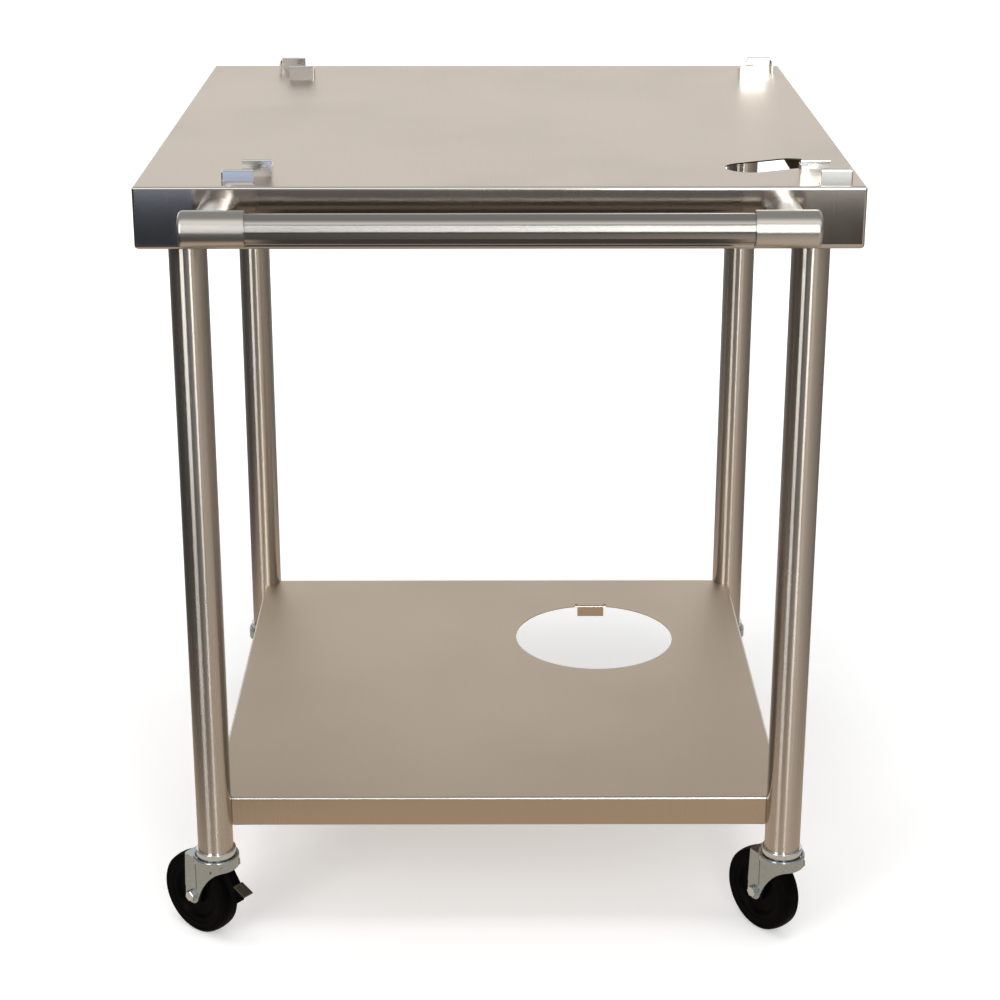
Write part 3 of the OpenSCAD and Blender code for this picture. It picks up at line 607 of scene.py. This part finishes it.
def add_clip_welds():
    """Two spot welds on each clip's base flange."""
    radius, height = 0.0026, 0.0002
    from_middle = 0.0085
    share_back = 0.55
    parts = []
    for corner in CORNERS:
        for place in ("outer", "inner"):
            low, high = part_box(f"{corner}_{place}_clip")
            wall_behind = high.y - low.y < CLIP_BASE + CLIP_WALL - CLIP_SHEET
            riser_y = high.y - (CLIP_WALL + CLIP_SHEET if wall_behind else CLIP_BASE)
            for side in (-1, 1):
                spot = Vector((
                    (low.x + high.x) / 2 + side * from_middle,
                    riser_y + CLIP_SHEET + (CLIP_BASE - CLIP_SHEET) * share_back,
                    DECK_TOP + CLIP_SHEET,
                ))
                parts.append((*weld_spot(radius, height), Matrix.Translation(spot)))
    points, faces = joined(parts)
    mesh_object("clip_spot_welds", points, faces, CLIP, "root")


def add_channel_welds():
    """Spot welds along the flanges of the channels under the deck."""
    radius, height = 0.003, 0.0003
    pitch = 0.06
    flange_middle = 0.0075
    under = Matrix.Rotation(math.pi, 4, "X")
    parts = []
    for channel in ("left_channel", "right_channel"):
        low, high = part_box(channel)
        count = int((high.y - low.y) / pitch)
        for x in (low.x + flange_middle, high.x - flange_middle):
            for step in range(count):
                y = low.y + (step + 0.5) * (high.y - low.y) / count
                spot = Matrix.Translation(Vector((x, y, high.z - SHEET)))
                parts.append((*weld_spot(radius, height), spot @ under))
    points, faces = joined(parts)
    mesh_object("channel_spot_welds", points, faces, INNER, "root")


for wheel_corner in CORNERS:
    add_wheel(wheel_corner)
    add_axle(wheel_corner)
add_screws()
add_clip_welds()
add_channel_welds()


# Stage

WHITE = (1.0, 1.0, 1.0, 1.0)
FRONT_END = -9.2
CANOPY_HEIGHT = 4.0
# The cards on the floor in front: their nearest Y, the seam between them, and their farthest Y.
CARD_NEAR, CARD_SEAM, CARD_FAR = -2.6, -4.52, -9.0
# Each card's name, its near end's Y and X range, its far end's Y and X range, and its colour.
SIDE_CARDS = (
    ("white_card", CARD_SEAM, (0.72, 1.3), CARD_FAR, (1.2, 2.6), (1.15, 1.14, 1.08, 1.0)),
    ("blue_card", CARD_SEAM, (-1.5, -0.5), CARD_FAR, (-3.0, -0.9), (0.6, 0.68, 0.85, 1.0)),
    ("left_end_card", CARD_NEAR, (-1.2, -0.5), CARD_SEAM, (-1.7, -0.7), (0.025, 0.032, 0.045, 1.0)),
    ("right_end_card", CARD_NEAR, (0.5, 1.2), CARD_SEAM, (0.7, 1.7), (0.05, 0.04, 0.035, 1.0)),
)
# The mat's tones: a bearing in degrees from the front towards the right, a level and a tint.
COOL = Vector((1.0, 0.97, 0.95))
WARM = Vector((1.0, 0.88, 0.77))
MAT_TONES = (
    (-180, 0.2, COOL), (-130, 0.18, COOL), (-100, 0.06, COOL), (-30, 0.05, COOL),
    (-8, 0.14, COOL), (8, 0.16, WARM), (16, 0.62, WARM), (42, 0.62, WARM),
    (60, 0.46, WARM), (90, 0.32, WARM), (115, 0.2, WARM), (180, 0.2, COOL),
)


def seen_or_mirrored(tree):
    """1 on camera, glossy and transmission rays, and 0 on the rays that light the object."""
    rays = put(tree, "ShaderNodeLightPath").outputs
    seen = calculate(tree, "MAXIMUM", rays["Is Camera Ray"], rays["Is Glossy Ray"])
    return calculate(tree, "MAXIMUM", seen, rays["Is Transmission Ray"])


def add_world():
    """White where it is seen, softer where it lights the object."""
    light_level = 0.62
    world = bpy.data.worlds.new("studio")
    tree = cleared_tree(world)
    strength = mix(tree, "FLOAT", seen_or_mirrored(tree), light_level, 1.0)
    light = put(tree, "ShaderNodeBackground", {"Color": WHITE, "Strength": strength})
    put(tree, "ShaderNodeOutputWorld", {"Surface": light.outputs[0]})
    bpy.context.scene.world = world


def level_corners(x_range, y_range, height):
    """The corners of a level rectangle."""
    left, right = x_range
    near, far = y_range
    return [(left, near, height), (right, near, height), (right, far, height), (left, far, height)]


def stage_plane(name, corners, material):
    """A flat four-cornered piece of the stage."""
    mesh = bpy.data.meshes.new(name)
    mesh.from_pydata(corners, [], [(0, 1, 2, 3)])
    mesh.materials.append(material)
    made = bpy.data.objects.new(name, mesh)
    bpy.context.scene.collection.objects.link(made)
    return made


def add_floor():
    """A pale floor that keeps the cart's shadow and turns whiter farther out."""
    reach = 30.0
    pale = (0.8, 0.8, 0.8, 1.0)
    lift_near, lift_far = 0.36, 0.9
    fade_start, fade_end = 0.9, 3.5
    made = bpy.data.materials.new("floor")
    tree = cleared_tree(made)
    matt = put(tree, "ShaderNodeBsdfDiffuse", {"Color": pale})
    distance = length_of(tree, coordinate(tree, "Object"))
    whiter = remap(tree, distance, lift_near, lift_far, start=fade_start, end=fade_end)
    lift = mix(tree, "FLOAT", seen_or_mirrored(tree), 0.0, whiter)
    glow = put(tree, "ShaderNodeEmission", {"Color": WHITE, "Strength": lift})
    both = put(tree, "ShaderNodeAddShader", {0: matt.outputs[0], 1: glow.outputs[0]})
    put(tree, "ShaderNodeOutputMaterial", {"Surface": both.outputs[0]})
    stage_plane("floor", level_corners((-reach, reach), (-reach, reach), 0), made)


def add_card(name, corners, colour=WHITE):
    """A card of light that shows in reflections alone; returns its tree and its colour socket."""
    material = bpy.data.materials.new(name)
    tree = cleared_tree(material)
    glow = put(tree, "ShaderNodeEmission", {"Color": colour, "Strength": 1.0})
    put(tree, "ShaderNodeOutputMaterial", {"Surface": glow.outputs[0]})
    card = stage_plane(name, corners, material)
    for use in ("camera", "diffuse", "shadow", "transmission", "volume_scatter"):
        setattr(card, "visible_" + use, False)
    return tree, glow.inputs["Color"]


def add_floor_card():
    """A mat that the steel mirrors: tan by the cart, and farther out a tone for each direction."""
    reach = 24.0
    lift = 0.004
    tan = (0.6, 0.49, 0.385, 1.0)
    tan_end, tones_start = 0.7, 1.0
    corners = level_corners((-reach, reach), (-reach, reach), lift)
    tree, colour = add_card("mat_card", corners)
    place = coordinate(tree, "Object")
    x, y, _ = parts_of(tree, place)
    forwards = calculate(tree, "MULTIPLY", y, -1.0)
    bearing = calculate(tree, "ARCTAN2", x, forwards)
    around = remap(tree, bearing, 0.0, 1.0, start=-math.pi, end=math.pi)
    ramp = put(tree, "ShaderNodeValToRGB", {"Fac": around})
    stops = ramp.color_ramp.elements
    while len(stops) < len(MAT_TONES):
        stops.new(1.0)
    for stop, (degrees, level, tint) in zip(stops, MAT_TONES):
        stop.position = degrees / 360 + 0.5
        stop.color = (*(level * tint), 1.0)
    share = remap(tree, length_of(tree, place), 0.0, 1.0, start=tan_end, end=tones_start)
    tree.links.new(mix(tree, "RGBA", share, tan, ramp.outputs["Color"]), colour)


def add_canopy_card():
    """A grey ceiling that the steel mirrors above the lamps, with a light band across it."""
    side, rear = 9.0, 6.0
    band_y, fade = -2.7, 1.8
    grey, bright = (0.36, 0.355, 0.35, 1.0), (1.3, 1.28, 1.25, 1.0)
    corners = level_corners((-side, side), (FRONT_END, rear), CANOPY_HEIGHT)
    tree, colour = add_card("canopy_card", corners)
    y = parts_of(tree, coordinate(tree, "Object"))[1]
    from_band = calculate(tree, "ABSOLUTE", calculate(tree, "ADD", y, -band_y))
    share = remap(tree, from_band, 1.0, 0.0, start=0.0, end=fade)
    tree.links.new(mix(tree, "RGBA", share, grey, bright), colour)


def add_front_card():
    """An upright card far in front of the cart, dark on the left and white on the right."""
    wide = 9.0
    dark_end, white_start = -1.3, 1.0
    dark, white = (0.16, 0.165, 0.175, 1.0), (1.0, 0.99, 0.96, 1.0)
    corners = [
        (-wide, FRONT_END, 0), (wide, FRONT_END, 0),
        (wide, FRONT_END, CANOPY_HEIGHT), (-wide, FRONT_END, CANOPY_HEIGHT),
    ]
    tree, colour = add_card("front_card", corners)
    x = parts_of(tree, coordinate(tree, "Object"))[0]
    share = remap(tree, x, 0.0, 1.0, start=dark_end, end=white_start)
    tree.links.new(mix(tree, "RGBA", share, dark, white), colour)


def add_flags():
    """Upright dark cards at the left and right, and a narrow one close below the handle."""
    near, far, top = -6.0, 4.0, 2.2
    for name, x, colour in (
        ("left_flag", -4.2, (0.08, 0.075, 0.075, 1.0)),
        ("right_flag", 4.2, (0.2, 0.18, 0.16, 1.0)),
    ):
        add_card(name, [(x, near, 0), (x, far, 0), (x, far, top), (x, near, top)], colour)
    low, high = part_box("handle_tube")
    middle = (low.y + high.y) / 2
    half, drop, reach = 0.25, 0.06, 0.045
    corners = level_corners((-half, half), (middle - reach, middle + reach), low.z - drop)
    add_card("handle_flag", corners, (0.09, 0.08, 0.075, 1.0))


def add_side_cards():
    """Cards on the floor in front of the cart, which the clips and the apron mirror."""
    lift = 0.008
    for name, near, near_x, far, far_x, colour in SIDE_CARDS:
        corners = [
            (far_x[0], far, lift), (far_x[1], far, lift),
            (near_x[1], near, lift), (near_x[0], near, lift),
        ]
        add_card(name, corners, colour)


def add_lamp(name, place, size, power):
    """A large soft lamp that looks at the middle of the cart."""
    target = Vector((0.0, 0.0, 0.5))
    data = bpy.data.lights.new(name, "AREA")
    data.shape = "RECTANGLE"
    data.size, data.size_y = size
    data.energy = power
    lamp = bpy.data.objects.new(name, data)
    lamp.location = place
    lamp.rotation_euler = (target - Vector(place)).to_track_quat("-Z", "Y").to_euler()
    bpy.context.scene.collection.objects.link(lamp)
    return lamp


def add_lamps():
    """A broad lamp overhead and two tall ones at the front, which draw the tubes' bright lines."""
    overhead = add_lamp("overhead", (0.0, -0.6, 3.4), (2.2, 1.4), 42.0)
    overhead.visible_glossy = False
    add_lamp("front_left_strip", (-1.85, -2.7, 1.5), (1.1, 2.4), 37.0)
    add_lamp("front_right_strip", (0.62, -3.3, 1.6), (0.55, 2.4), 24.0)


def add_camera():
    """The camera at the photograph's angle."""
    downwards = 19.6
    to_the_right = 0.18
    data = bpy.data.cameras.new("camera")
    data.sensor_width = 36.0
    data.lens = 80.6
    data.shift_x = 0.005
    data.shift_y = -0.03
    camera = bpy.data.objects.new("camera", data)
    camera.location = (-0.012, -2.658, 1.415)
    camera.rotation_euler = (math.radians(90 - downwards), 0.0, math.radians(-to_the_right))
    bpy.context.scene.collection.objects.link(camera)
    bpy.context.scene.camera = camera


add_world()
add_floor()
add_floor_card()
add_canopy_card()
add_front_card()
add_flags()
add_side_cards()
add_lamps()
add_camera()
bpy.context.scene.view_settings.view_transform = "Standard"
